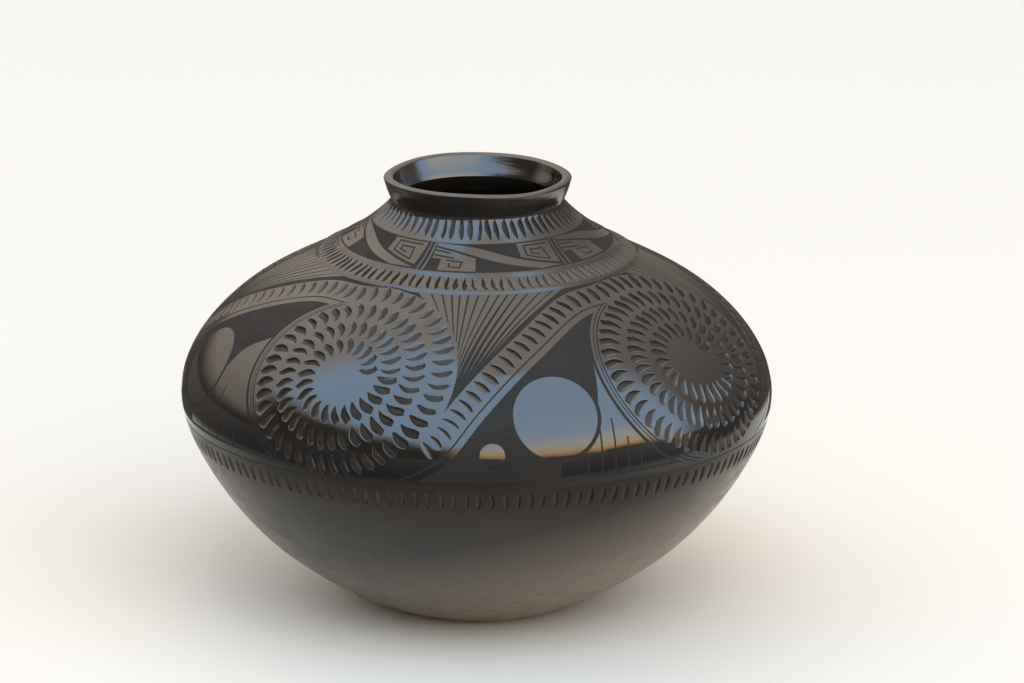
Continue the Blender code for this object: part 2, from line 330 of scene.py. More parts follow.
class Sheet:
    """Ornament on the wall between two rises: places with a depth, lines, and what they bound."""

    def __init__(self, low, high, grain=GRAIN):
        self.low = low
        self.high = high
        self.grain = grain
        self.places = []
        self.lines = []
        self.belts = []
        self.zones = []
        self.outlines = []
        self.circle(low)
        self.circle(high)

    def place(self, turn, rise, depth=0.0):
        self.places.append((float(turn), float(rise), float(depth)))
        return len(self.places) - 1

    def join(self, indices, closed=False):
        self.lines += list(zip(indices[:-1], indices[1:]))
        if closed:
            self.lines.append((indices[-1], indices[0]))

    def circle(self, rise):
        self.join([self.place(360.0 * i / ROUND, rise) for i in range(ROUND)], closed=True)

    def belt(self, low, high, kind):
        """A ground all the way round between two rises."""
        self.circle(low)
        self.circle(high)
        self.belts.append((low, high, kind))

    def shape(self, path, kind, layer=GROUND_LAYER):
        """A flat closed shape, such as a painted ground or a burnished disc."""
        made = [self.place(turn, rise) for turn, rise in path]
        self.join(made, closed=True)
        self.zones.append((layer, kind, made))

    def sides(self, corners):
        """A burnished shape with straight sides."""
        self.shape(fine(corners + corners[:1])[:-1], BURNISHED)

    def bar(self, start, end, width):
        """A straight bar with square ends, half its width past both of its places."""
        path = fine([start, end])
        angle = headings(path)[0]
        half = 0.5 * width
        across = math.cos(angle) * half
        along = math.sin(angle) * half
        path[0] = shifted(*path[0], -across, -along)
        path[-1] = shifted(*path[-1], across, along)
        outline = np.concatenate([beside(path, half), beside(path, -half)[::-1]])
        self.shape(outline, MATTE, LINE_LAYER)

    def stroke(self, path, width, depth=STROKE_DEPTH):
        """A thin line scratched into the wall, narrower at its ends."""
        knots = distances(path)
        share = np.clip(np.minimum(knots, knots[-1] - knots) / STROKE_TAPER, STROKE_TIP, 1.0)
        half = 0.5 * width * share
        lefts = [self.place(*spot) for spot in beside(path, half)]
        rights = [self.place(*spot) for spot in beside(path, -half)]
        outline = lefts + rights[::-1]
        self.join(outline, closed=True)
        self.join([self.place(turn, rise, depth) for turn, rise in path[1:-1]])
        self.zones.append((LINE_LAYER, MATTE, outline))

    def notch(self, turn, rise, heading, half_width, bulge, depth, cut, fade, lean, slope=SLOPE):
        """A gouged crescent: a steep wall with a rounded edge, and a floor that runs out behind.

        The floor ends cut behind the wall, and the slope after it ends fade behind. lean moves
        the thickest place to one side.
        """
        across = np.linspace(-1.0, 1.0, NOTCH_PLACES)[1:-1]
        body = 1.0 - across ** 2
        thick = body ** NOTCH_POWER * (1.0 + lean * across)
        middle = 0.5 * (bulge - fade)
        cosine = math.cos(heading)
        sine = math.sin(heading)

        def spot(forward, sideways, sink):
            forward = forward - middle
            right = forward * cosine - sideways * sine
            up = forward * sine + sideways * cosine
            return self.place(*shifted(turn, rise, right, up), sink)

        start = spot(0.0, -half_width, 0.0)
        end = spot(0.0, half_width, 0.0)
        late = 0.5 * (cut + fade)
        rows = []
        for behind, share in (
            (-0.6, 0.0), (0.0, 0.16), (0.32, 1.0), (cut, 0.38), (late, 0.11), (fade, 0.0),
        ):
            forwards = bulge * body - behind * thick
            sinks = depth * share * np.minimum(thick, 1.0) ** NOTCH_POWER
            row = [spot(*values) for values in zip(forwards, across * half_width, sinks)]
            rows.append([start] + row + [end])
            self.join(rows[-1])
        for kind, ahead, back in zip((slope, STEEP, CUT, slope, slope), rows, rows[1:]):
            self.zones.append((NOTCH_LAYER, kind, ahead + back[-2:0:-1]))
        self.outlines.append((start, len(self.places), rows[0] + rows[-1][-2:0:-1]))

    def free_places(self, spots, points):
        """Places between the lines, spread evenly and clear of all that is drawn."""
        free = []
        spans = [(low, high, FINE_GRAIN) for low, high in FINE_SPANS if self.low < low < self.high]
        for low, high, grain in [(self.low, self.high, self.grain)] + spans:
            rows = int((high - low) / (ROW_PITCH * grain))
            for row in range(1, rows):
                rise = low + (high - low) * row / rows
                if grain == self.grain and any(start < rise < end for start, end in FINE_SPANS):
                    continue
                count = int(2.0 * math.pi * profile.radius(rise) / (PLACE_PITCH * grain))
                for i in range(count):
                    place = i + 0.5 * (row % 2) + dice.uniform(-TURN_SCATTER, TURN_SCATTER)
                    height = rise + grain * dice.uniform(-RISE_SCATTER, RISE_SCATTER)
                    free.append((360.0 * place / count, height, grain))
        free = np.array(free)
        turns, rises, grains = free.T
        flat = chart(turns, rises)
        clear = np.ones(len(free), bool)
        for *_, outline in self.outlines:
            clear[inside(points[outline], flat)] = False
        tree = kdtree.KDTree(len(spots))
        for i, spot in enumerate(spots):
            tree.insert(spot, i)
        tree.balance()
        for i, spot in enumerate(surface(turns, rises)):
            if clear[i] and tree.find(spot)[2] < CLEARANCE * grains[i]:
                clear[i] = False
        return free[clear]

    def triangles(self):
        """Turn, rise and depth of each vertex, and the triangles with their kinds."""
        places = np.array(self.places)
        points = chart(*places[:, :2].T)
        keep = np.ones(len(places), bool)
        for first, last, outline in self.outlines:
            found = inside(points[outline], points)
            keep[found[(found < first) | (found >= last)]] = False
        number = np.cumsum(keep) - 1
        lines = [(int(number[a]), int(number[b])) for a, b in self.lines if keep[a] and keep[b]]
        free = self.free_places(surface(*places[keep, :2].T), points)
        free[:, 2] = 0.0
        places = np.concatenate([places[keep], free])
        inputs = [tuple(point) for point in chart(*places[:, :2].T)]
        verts, _, faces, origins, _, _ = delaunay_2d_cdt(inputs, lines, [], 0, 1e-7, True)
        verts = np.array(verts)[:, :2]
        faces = np.array(faces)
        known = np.array([origin[0] if origin else -1 for origin in origins])
        found = known >= 0
        made = np.column_stack([*off_chart(verts), np.zeros(len(verts))])
        made[found] = places[known[found]]

        corners = verts[faces]
        first = corners[:, 1] - corners[:, 0]
        second = corners[:, 2] - corners[:, 0]
        area = first[:, 0] * second[:, 1] - first[:, 1] * second[:, 0]
        faces[area < 0.0] = faces[area < 0.0][:, ::-1]
        centres = corners.mean(1)
        hole = chart(0.0, self.high)[0] * math.cos(math.pi / ROUND)
        good = np.hypot(*centres.T) > hole
        faces = faces[good]
        centres = centres[good]
        rises = off_chart(centres)[1]

        kinds = np.full(len(faces), BURNISHED)
        for low, high, kind in self.belts:
            kinds[(rises > low) & (rises < high)] = kind
        for _, kind, zone in sorted(self.zones, key=lambda entry: entry[0]):
            kinds[inside(points[zone], centres)] = kind
        for lost in np.nonzero(~found)[0]:
            near = np.unique(faces[(faces == lost).any(1)])
            near = near[found[near]]
            made[lost, 2] = made[near, 2].mean() if len(near) else 0.0
        return made, faces, kinds


# Rosettes and the panels between them

ROSETTE_RISE = 44.3
ROSETTE_REACH = 54.0
ROSETTE_PITCH = 14.1
ROSETTE_EASE = 0.5
ROSETTE_ROUNDS = 3.27
ROSETTE_EDGE = 59.7
ROSETTE_BORDER = 6.9

# Turn of each rosette, and how much wider its left half is; the last is the first again
ROSETTES = ((-30.5, 0.0), (54.5, 0.17), (146.2, 0.06), (237.8, 0.1), (329.5, 0.0))
DRAWN_LEFT = -30.5
DRAWN_RIGHT = 54.5

BAND_POINTS = (
    (-20.5, -4.5), (-15.0, 1.8), (-9.0, 10.8), (-3.8, 27.8), (1.4, 43.8),
    (7.4, 58.8), (14.8, 73.3), (23.6, 86.8), (33.0, 94.5),
)
BAND_START = 9.0
BAND_END = 98.0
BAND_TOP = 6.0
BAND_BORDER = -7.7
BAND_FOOT = -11.4
BAND_LINE = 0.8
PANEL_FLOOR = -6.2
PANEL_LINE = -10.0
LINE_GAP = 1.2
PANEL_TOP = 104.6

# Notches at shares of the way from the band's foot to the rosette's centre: their pitch, half
# width, bulge, depth, cut and lean, and the share of the pitch over which they fade
NOTCH_SHARES = (0.0, 0.06, 0.18, 0.45, 1.0)
NOTCH_SIZES = (
    (5.7, 6.5, 6.9, 6.6, 5.4),
    (4.8, 5.5, 5.6, 6.0, 5.3),
    (1.3, 1.8, 2.5, 2.9, 2.6),
    (1.0, 1.3, 1.6, 1.7, 1.4),
    (1.5, 1.9, 2.9, 3.5, 3.0),
    (0.0, -0.2, 0.2, 0.6, 0.5),
)
NOTCH_FADE = 0.78

# The lines round the left of a rosette: their clocks, and how far out and how wide each is
BORDER_CLOCKS = (336.0, 196.0)
BORDER_LINES = ((0.0, 0.7), (1.7, 0.5))

# The line round the right of a rosette: its clocks and width
EDGE_CLOCKS = (-14.0, 20.0)
EDGE_LINE = 0.7

# The fan between a rosette and the band: clocks of its ground's edge by the rosette, where its
# light wedges start (share of the fan, turn and rise), and the turns between their ends
FAN_CLOCKS = (4.0, 114.0)
FAN_INSET = 0.8
FAN_TOP = 104.0
FAN_FOOT = (
    (0.0, -6.2, 66.6), (0.2, -5.2, 61.0), (0.4, -4.7, 53.5), (0.6, -4.9, 45.5), (0.8, -1.4, 50.5),
    (1.0, 3.4, 61.0),
)
FAN_ENDS = (
    -21.5, -16.3, -12.3, -8.9, -6.0, -2.9, 0.6, 4.4, 7.8, 11.0, 14.3, 18.2, 22.8, 27.6, 32.0,
)
FAN_LINE = 1.0

# The field under the band, with its discs, and a comb between the large one and the next rosette
FIELD_CLOCKS = (336.0, 200.0)
FIELD_GAP = 3.4
DISC = (15.8, 26.0)
DISC_REACH = 21.3
SMALL_DISC = (3.0, 7.6)
SMALL_DISC_REACH = 6.3
COMB_FLOOR = PANEL_FLOOR + 1.6
COMB_CROWN = (26.4, 44.0)
COMB_LEFT = (76.0, 178.0)
COMB_LEFT_GAP = 2.0
COMB_RIGHT = (205.0, 289.0)
COMB_RIGHT_GAP = 5.0

# Turn and top of each bar of the comb, and their width
COMB_BARS = ((21.4, 5.0), (24.3, 17.0), (27.1, 22.0), (29.9, 12.0), (32.7, 5.0))
COMB_LINE = 0.9


def spiral_reach(clock, swell):
    rounds = clock / 360.0
    left = np.maximum(0.0, -np.sin(np.radians(clock)))
    reach = ROSETTE_REACH - ROSETTE_PITCH * rounds + ROSETTE_EASE * rounds ** 2
    return reach * (1.0 + swell * left ** 2)


def border(rosette, extra, start, end):
    """A line round the left side of a rosette, outside its outer arm."""
    turn, swell = rosette
    clock = np.linspace(start, end, 90)
    return polar(turn, ROSETTE_RISE, spiral_reach(clock, swell) + ROSETTE_BORDER + extra, clock)


def fitted(points, left, right):
    """Places of the drawn panel, fitted between two rosettes."""
    points = np.asarray(points, float)
    share = smooth_step(points[:, 0], DRAWN_LEFT, DRAWN_RIGHT)
    from_left = left[0] + points[:, 0] - DRAWN_LEFT
    from_right = right[0] + points[:, 0] - DRAWN_RIGHT
    return np.stack([(1.0 - share) * from_left + share * from_right, points[:, 1]], 1)


def notch_path(left, right):
    """The band that rises from the left rosette and winds into the right one."""
    band = fitted(BAND_POINTS, left, right)
    clock = np.arange(-15.0, 360.0 * ROSETTE_ROUNDS, 9.0)
    spiral = polar(right[0], ROSETTE_RISE, spiral_reach(clock, right[1]), clock)
    return smooth_path(np.concatenate([band, spiral]), BAND_STEP)


def panel_notches(sheet, path):
    """Notches along the band and the spiral, from the band's foot to the rosette's centre."""
    knots = distances(path)
    angles = headings(path)
    start = knots[int(np.argmax(path[:, 1] > BAND_START))]
    end = knots[-1] - 1.0
    at = start
    while at < end:
        share = (at - start) / (end - start)
        pitch, half_width, bulge, depth, cut, lean = (
            np.interp(share, NOTCH_SHARES, row) for row in NOTCH_SIZES)
        pitch = pitch * dice.uniform(0.94, 1.06)
        size = dice.uniform(0.93, 1.05)
        depth = depth * dice.uniform(0.85, 1.1)
        cut = cut * dice.uniform(0.8, 1.15)
        lean = lean + dice.uniform(-0.2, 0.2)
        turn, rise = (np.interp(at, knots, column) for column in path.T)
        heading = np.interp(at, knots, angles) + math.radians(dice.uniform(-5.0, 5.0))
        sheet.notch(turn, rise, heading, half_width * size, bulge * size, depth, cut,
                    NOTCH_FADE * pitch, lean)
        at += pitch


def chart_line(start, end):
    """The path between two places that is straight on the drawing chart."""
    share = np.linspace(0.0, 1.0, 30)[:, None]
    turns, rises = off_chart((1.0 - share) * chart(*start) + share * chart(*end))
    return np.stack([start[0] + (turns - start[0] + 180.0) % 360.0 - 180.0, rises], 1)


def above(path, rise):
    return path[path[:, 1] > rise]


def fan(sheet, left, right, left_edge, right_edge):
    """A painted ground between a rosette and the band beside it, and the wedges laid over it."""
    left_edge = left_edge[left_edge[:, 1] < PANEL_TOP]
    here, there = meeting(left_edge, right_edge)
    left_edge = left_edge[:here]
    right_edge = right_edge[there + 1:]
    top = fine([left_edge[0], right_edge[-1]])[1:-1]
    sheet.shape(np.concatenate([left_edge[::-1], top, right_edge[::-1]]), MATTE)

    ends = fitted([(turn, FAN_TOP) for turn in FAN_ENDS], left, right)
    shares, turns, rises = np.array(FAN_FOOT).T
    at = np.linspace(0.0, 1.0, len(ends) - 1)
    feet = np.stack([np.interp(at, shares, turns), np.interp(at, shares, rises)], 1)
    for foot, start, end in zip(fitted(feet, left, right), ends, ends[1:]):
        first = shifted(*start, 0.5 * FAN_LINE, 0.0)
        last = shifted(*end, -0.5 * FAN_LINE, 0.0)
        wedge = chart_line(foot, first)[:-1], fine([first, last]), chart_line(last, foot)[1:-1]
        sheet.shape(np.concatenate(wedge), BURNISHED, LINE_LAYER)


def lower_field(sheet, left, right, foot):
    """The painted ground under the band, with two burnished discs and a burnished comb."""
    side = border(right, FIELD_GAP, *FIELD_CLOCKS)
    here, there = meeting(foot, side)
    foot = above(foot[: here + 1], PANEL_FLOOR)
    side = above(side[there + 1:], PANEL_FLOOR)
    floor = fine([(side[-1, 0], PANEL_FLOOR), (foot[0, 0], PANEL_FLOOR)])
    sheet.shape(np.concatenate([foot, side, floor]), MATTE)

    disc, small, crown = fitted([DISC, SMALL_DISC, COMB_CROWN], left, right)
    sheet.shape(arc(*disc, DISC_REACH, 0.0, 360.0)[:-1], BURNISHED)
    sheet.shape(arc(*small, SMALL_DISC_REACH, 0.0, 360.0)[:-1], BURNISHED)

    inner = above(arc(*disc, DISC_REACH + COMB_LEFT_GAP, *COMB_LEFT), COMB_FLOOR)
    outer = above(border(right, COMB_RIGHT_GAP, *COMB_RIGHT), COMB_FLOOR)
    top = smooth_path([outer[-1], crown, inner[0]])
    bottom = fine([inner[-1], (inner[-1, 0], COMB_FLOOR), (outer[0, 0], COMB_FLOOR), outer[0]])
    sheet.shape(np.concatenate([top[1:-1], inner[:-1], bottom[:-1], outer]), BURNISHED)
    for turn, high in fitted(COMB_BARS, left, right):
        sheet.bar((turn, COMB_FLOOR), (turn, high), COMB_LINE)


def panel(sheet, left, right):
    """All that lies between two rosettes, with the notches of the right one."""
    path = notch_path(left, right)
    band = path[: int(np.argmax(path[:, 1] > BAND_END))]

    sheet.stroke(arc(left[0], ROSETTE_RISE, ROSETTE_EDGE, *EDGE_CLOCKS), EDGE_LINE)
    far_edge = arc(left[0], ROSETTE_RISE, ROSETTE_EDGE - FAN_INSET, *FAN_CLOCKS)
    top_edge = beside(band, BAND_TOP)
    fan(sheet, left, right, far_edge, top_edge[top_edge[:, 1] < PANEL_TOP])
    lower_field(sheet, left, right, beside(band, BAND_FOOT))

    lowest = PANEL_LINE + LINE_GAP
    line = above(beside(band, BAND_BORDER), lowest)
    here, there = meeting(line, border(right, 0.0, *BORDER_CLOCKS))
    sheet.stroke(line[: here + 2: 2], BAND_LINE)
    for extra, width in BORDER_LINES:
        sheet.stroke(above(border(right, extra, *BORDER_CLOCKS)[there:], lowest), width)
    panel_notches(sheet, path)


# Rings of notches and the fret band

# The line under the panels: width, depth, sway and count of waves
RING_LINE = 0.6
LINE_DEPTH = 0.1
LINE_SWAY = 0.25
LINE_WAVES = 7.0

# Rings of notches: count, rise, heading and its scatter, half width, bulge, depth, cut, fade, lean
BELLY_RING = (146, -17.6, 0.0, 7.0, 5.2, 1.3, 1.4, 1.9, 4.4, 0.0)
SHOULDER_RING = (102, 110.8, 180.0, 9.0, 5.0, 1.2, 1.3, 1.6, 3.6, 0.0)
NECK_RING = (66, 145.3, 0.0, 6.0, 5.9, 0.9, 1.5, 2.2, 3.2, 0.4)

FRET_LOW = 118.4
FRET_HIGH = 137.4
FRET_SPAN = 66.5
FRET_TURNS = (-23.5, 43.0, 116.5, 190.0, 263.3, 336.5)

# A fret unit: degrees from its left divider, and rise
FRET_STRIPE = (
    ((2.0, 137.2), (11.5, 136.6), (23.5, 134.9), (33.5, 131.2), (43.5, 127.0), (53.5, 123.0),
     (62.0, 119.6)),
    ((52.0, 119.2), (43.5, 121.9), (33.5, 125.6), (23.5, 129.6), (13.5, 133.0), (2.0, 135.3)),
)
FRET_STEPS = (
    (2.0, 134.4), (13.0, 132.0), (22.7, 128.6), (22.7, 119.4), (6.4, 119.4), (6.4, 127.4),
    (2.0, 127.4),
)
FRET_BLOCK = ((44.6, 136.6), (63.6, 136.6), (61.9, 121.6), (44.6, 128.2))
FRET_LINES = (
    ((2.6, 132.6), (10.2, 131.4)),
    ((2.6, 129.6), (12.2, 128.3)),
    ((9.6, 126.6), (16.6, 125.9), (15.6, 121.9), (11.0, 122.2), (10.6, 124.3)),
    ((60.9, 135.0), (48.0, 135.0), (48.0, 128.9), (58.6, 124.7), (57.6, 132.3), (51.0, 132.3),
     (51.2, 129.9), (54.6, 128.7)),
)
FRET_LINE = 0.95

# Its two dividers: the degrees at which each starts and ends, how far they lean to the right, and
# how far they stay clear of the band's edges
FRET_DIVIDERS = ((-2.9, -2.2), (-0.6, 0.3))
DIVIDER_LEAN = 1.2
DIVIDER_GAP = 0.4


def ring_line(sheet, rise):
    """A scratched line all the way round, as two long strokes that meet."""
    for start in (0.0, 180.0):
        turns = np.linspace(start, start + 180.0, 150)
        sway = LINE_SWAY * np.sin(np.radians(turns) * LINE_WAVES)
        sheet.stroke(np.stack([turns, rise + sway], 1), RING_LINE, LINE_DEPTH)


def notch_ring(sheet, count, rise, heading, scatter, half_width, bulge, depth, cut, fade, lean,
               slope=SLOPE):
    """A ring of notches round the pot, each a little off in size, place and heading."""
    for i in range(count):
        turn = 360.0 * (i + 0.07 * dice.uniform(-1.0, 1.0)) / count
        size = dice.uniform(0.94, 1.04)
        tilted = math.radians(heading + scatter * dice.uniform(-1.0, 1.0))
        sheet.notch(turn, rise + 0.35 * dice.uniform(-1.0, 1.0), tilted, half_width * size,
                    bulge * size, depth * dice.uniform(0.85, 1.1), cut * dice.uniform(0.8, 1.2),
                    fade, lean + dice.uniform(-0.25, 0.25), slope)


def fret_unit(sheet, start, end):
    """The light shapes of one fret, and the dark lines over them."""
    def at(points):
        return [(start + (end - start) * turn / FRET_SPAN, rise) for turn, rise in points]

    sheet.shape(np.concatenate([smooth_path(at(side)) for side in FRET_STRIPE]), BURNISHED)
    sheet.sides(at(FRET_STEPS))
    sheet.sides(at(FRET_BLOCK))
    top = FRET_HIGH - DIVIDER_GAP
    foot = FRET_LOW + DIVIDER_GAP
    for low, high in FRET_DIVIDERS:
        upper = ((high + DIVIDER_LEAN, top), (low + DIVIDER_LEAN, top))
        sheet.sides(at(((low, foot), (high, foot)) + upper))
    for path in FRET_LINES:
        places = at(path)
        for first, second in zip(places, places[1:]):
            sheet.bar(first, second, FRET_LINE)


def wall_sheet():
    sheet = Sheet(BASE_SEAM, NECK_SEAM)
    sheet.belt(FRET_LOW, FRET_HIGH, MATTE)
    for start, end in zip(FRET_TURNS, FRET_TURNS[1:]):
        fret_unit(sheet, start, end)
    for left, right in zip(ROSETTES, ROSETTES[1:]):
        panel(sheet, left, right)
    sheet.belt(BASE_SEAM, PANEL_LINE, SATIN)
    ring_line(sheet, PANEL_LINE)
    notch_ring(sheet, *BELLY_RING, SATIN_SLOPE)
    notch_ring(sheet, *SHOULDER_RING)
    return sheet


def neck_sheet():
    sheet = Sheet(NECK_SEAM, LIP_SEAM, NECK_GRAIN)
    notch_ring(sheet, *NECK_RING)
    return sheet


# Skins

TURNS = 360.0 * np.arange(ROUND) / ROUND

# Points are welded on this raster, and a place counts as sunk from this depth
WELD = 0.001
SHALLOW = 0.01

# Half turns on the bake square: degrees by which they overlap, and the share kept clear
BAKE_OVERLAP = 3.0
BAKE_MARGIN = 0.03


def ring(rise, depth=0.0, ahead=0.0):
    """One ring of points round the wall."""
    return surface(TURNS, rise, depth, ahead)


def flat_ring(radius, height):
    angle = np.radians(TURNS)
    return np.stack([radius * np.sin(angle), -radius * np.cos(angle), np.full(ROUND, height)], -1)


def wall_rings(low, high, step, depth=0.0):
    """Rings along the wall from one rise to another."""
    count = max(2, int(round(abs(high - low) / step)) + 1)
    return [ring(rise, depth) for rise in np.linspace(low, high, count)]


def edge_rings(rise, start, end):
    """Rings across a seam, from one depth to another."""
    return [ring(rise, depth) for depth in (start, 0.5 * (start + end), end)]


def bake_places(turns, shares, low, high):
    """Where triangles lie on the bake square: each half turn is a strip between low and high."""
    middle = turns[:, :1] + (((turns - turns[:, :1]) + 180.0) % 360.0 - 180.0).mean(1, keepdims=True)
    half = np.floor(middle % 360.0 / 180.0)
    near = (turns - middle + 180.0) % 360.0 - 180.0 + middle % 360.0
    across = (near - 180.0 * half + BAKE_OVERLAP) / (180.0 + 2.0 * BAKE_OVERLAP)
    up = low + (half + BAKE_MARGIN + (1.0 - 2.0 * BAKE_MARGIN) * shares) * 0.5 * (high - low)
    return np.stack([across, up], -1)


def linked(name, data):
    """A new object in the scene."""
    made = bpy.data.objects.new(name, data)
    bpy.context.scene.collection.objects.link(made)
    return made


class Skin:
    """A closed piece under way: patches of points, triangles, kinds, normals and bake places.

    low and high are where a patch lies in the height of the bake square.
    """

    def __init__(self):
        self.patches = []
        self.count = 0

    def add(self, points, corners, kinds, normals, bakes):
        self.patches.append((points, corners + self.count, kinds, normals, bakes))
        self.count += len(points)

    def rings(self, rows, low, high):
        """A patch through rings of points, the next ring above the last as seen from outside."""
        points = np.array(rows)
        across = np.roll(points, -1, axis=1) - np.roll(points, 1, axis=1)
        normals = unit(np.cross(across, np.gradient(points, axis=0)))
        for row, beside_row in ((0, 1), (-1, -2)):
            if np.abs(across[row]).max() < 1e-9:
                normals[row] = unit(normals[beside_row].mean(0))
        index = np.arange(len(rows) * ROUND).reshape(len(rows), ROUND)
        after = np.roll(index, -1, axis=1)
        triangles = (index[:-1], after[:-1], after[1:]), (index[:-1], after[1:], index[1:])
        corners = np.concatenate([np.stack(three, -1).reshape(-1, 3) for three in triangles])
        turns = TURNS[corners % ROUND]
        shares = (corners // ROUND) / (len(rows) - 1)
        self.add(points.reshape(-1, 3), corners, np.full(len(corners), BURNISHED),
                 normals.reshape(-1, 3)[corners], bake_places(turns, shares, low, high))

    def sheet(self, sheet, low, high):
        """The ornamented outer face."""
        places, faces, kinds = sheet.triangles()
        turns, rises, depths = places.T
        points = surface(turns, rises, depths)
        smooth = surface_normal(turns, rises)
        sides = points[faces]
        crosses = np.cross(sides[:, 1] - sides[:, 0], sides[:, 2] - sides[:, 0])
        normals = smooth[faces]
        sloping = (kinds == SLOPE) | (kinds == SATIN_SLOPE)
        grooved = (kinds <= SATIN) & (depths[faces] > SHALLOW).any(1)
        normals[grooved] = unit(crosses[grooved])[:, None]
        for group in (kinds == STEEP, (kinds == CUT) | sloping):
            sums = np.zeros_like(points)
            for i in range(3):
                np.add.at(sums, faces[group, i], crosses[group])
            normals[group] = unit(sums)[faces[group]]
        runs_out = depths < SHALLOW
        runs_out[faces[kinds == STEEP]] = False
        level = sloping[:, None] & runs_out[faces]
        normals[level] = smooth[faces][level]
        shares = (rises[faces] - sheet.low) / (sheet.high - sheet.low)
        self.add(points, faces, kinds, normals, bake_places(turns[faces], shares, low, high))

    def piece(self, name, materials, slots, body, slot, *nodes):
        """Make the object: patches welded, and riding on its body in place of CAD nodes.

        slots gives the number of the material of each kind of face.
        """
        points, corners, kinds, normals, bakes = map(np.concatenate, zip(*self.patches))
        keys = np.round(points / WELD).astype(np.int64)
        _, first, number = np.unique(keys, axis=0, return_index=True, return_inverse=True)
        corners = number.ravel()[corners]
        good = (corners != np.roll(corners, 1, axis=1)).all(1)
        mesh = bpy.data.meshes.new(name)
        mesh.from_pydata((points[first] * MM).tolist(), [], corners[good].tolist(), shade_flat=False)
        for material in materials:
            mesh.materials.append(material)
        indices = np.array(slots, np.int32)[kinds[good]]
        mesh.polygons.foreach_set("material_index", indices)
        layer = mesh.uv_layers.new(name="OFBake")
        layer.data.foreach_set("uv", bakes[good].astype(np.float32).ravel())
        mesh.normals_split_custom_set(normals[good].reshape(-1, 3).tolist())
        mesh.update()
        piece = linked(name, mesh)
        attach(piece, body)
        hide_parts(*nodes)


# Shader nodes

def add_node(tree, kind, inputs, **settings):
    """A new node with its settings, and each of its inputs linked to a socket or given a value."""
    node = tree.nodes.new("ShaderNode" + kind)
    for name, value in settings.items():
        setattr(node, name, value)
    for name, value in inputs.items():
        if isinstance(value, bpy.types.NodeSocket):
            tree.links.new(value, node.inputs[name])
        else:
            node.inputs[name].default_value = value
    return node


def ranged(tree, value, low, high, start, end, interpolation="LINEAR"):
    """A value taken from one range to another."""
    return add_node(tree, "MapRange", {
        "Value": value, "From Min": low, "From Max": high, "To Min": start, "To Max": end,
    }, interpolation_type=interpolation).outputs["Result"]


def soft_range(tree, value, low, high, start, end):
    return ranged(tree, value, low, high, start, end, "SMOOTHSTEP")


def computed(tree, operation, first, second):
    return add_node(tree, "Math", {0: first, 1: second}, operation=operation).outputs["Value"]


def along(tree, vector, direction):
    """How far a vector reaches in a direction."""
    node = add_node(tree, "VectorMath", {0: vector, 1: direction}, operation="DOT_PRODUCT")
    return node.outputs["Value"]


def mixed(tree, factor, first, second):
    """A mix of two colours, each a socket or three numbers."""
    first, second = [(*side, 1.0) if isinstance(side, tuple) else side for side in (first, second)]
    node = add_node(tree, "Mix", {"Factor": factor, "A": first, "B": second}, data_type="RGBA")
    return node.outputs["Result"]


def ramp(tree, value, stops):
    """A colour by a value, between stops of a position and a colour each."""
    node = add_node(tree, "ValToRGB", {"Fac": value})
    elements = node.color_ramp.elements
    for element, (position, color) in zip(elements, (stops[0], stops[-1])):
        element.position = position
        element.color = (*color, 1.0)
    for position, color in stops[1:-1]:
        elements.new(position).color = (*color, 1.0)
    return node.outputs["Color"]


# Materials

# Scale of the streaks, the spans of noise that count, and the way up the bowl's colours, along which
# a painted reflection of the pale floor grows towards the foot and the right
STREAK_SCALE = 55.0
STREAK_SPAN = (0.3, 0.7)
CLOUD_SPAN = (0.32, 0.68)
CLOUD_SQUEEZE = 1.6
FLOOR_REFLECTION_SLANT = (-0.25, 0.0, 1.0)


def clay(name, dark, light, rough, ior, streak, grain, cloud=22.0, shine=None, foot=None):
    """Fired clay: clouded colour, streaks from the burnishing stone, and a fine grain.

    streak gives the squeeze and depth of the streaks, and grain its scale and depth. shine gives two
    heights and the specular levels there. foot gives two heights and a paler colour that is painted
    in towards the second, a little higher up on the right: a painted reflection of the pale floor
    near the foot, and painted light on the right side.
    """
    made = bpy.data.materials.new(name)
    made.use_nodes = True
    tree = made.node_tree
    shader = tree.nodes["Principled BSDF"]
    shader.inputs["IOR"].default_value = ior
    place = add_node(tree, "TexCoord", {}).outputs["Object"]

    def noise(scale, detail, squeeze):
        mapping = add_node(tree, "Mapping", {"Vector": place, "Scale": (1.0, 1.0, squeeze)})
        return add_node(tree, "TexNoise", {
            "Vector": mapping.outputs["Vector"], "Scale": scale, "Detail": detail,
        }).outputs["Fac"]

    clouds = noise(cloud, 3.0, CLOUD_SQUEEZE)
    streaks = noise(STREAK_SCALE, 4.0, streak[0])
    grains = noise(grain[0], 2.0, 1.0)

    colour = mixed(tree, ranged(tree, clouds, *CLOUD_SPAN, 0.0, 1.0), dark, light)
    # Painted reflection and painted light: the clay is painted paler towards the foot and on the
    # right, as if it mirrored the pale floor and were lit from that side
    if foot:
        low, high, floor_reflection_colour = foot
        share = ranged(tree, along(tree, place, FLOOR_REFLECTION_SLANT), low, high, 0.0, 1.0)
        colour = mixed(tree, share, colour, floor_reflection_colour)
    tree.links.new(colour, shader.inputs["Base Color"])
    if shine:
        height = add_node(tree, "SeparateXYZ", {"Vector": place}).outputs["Z"]
        tree.links.new(ranged(tree, height, *shine), shader.inputs["Specular IOR Level"])
    tree.links.new(ranged(tree, streaks, *STREAK_SPAN, *rough), shader.inputs["Roughness"])

    relief = {}
    for height, depth in ((streaks, streak[1]), (grains, grain[1])):
        relief.update({"Height": height, "Strength": 1.0, "Distance": depth * MM})
        relief["Normal"] = add_node(tree, "Bump", relief).outputs["Normal"]
    tree.links.new(relief["Normal"], shader.inputs["Normal"])
    return made


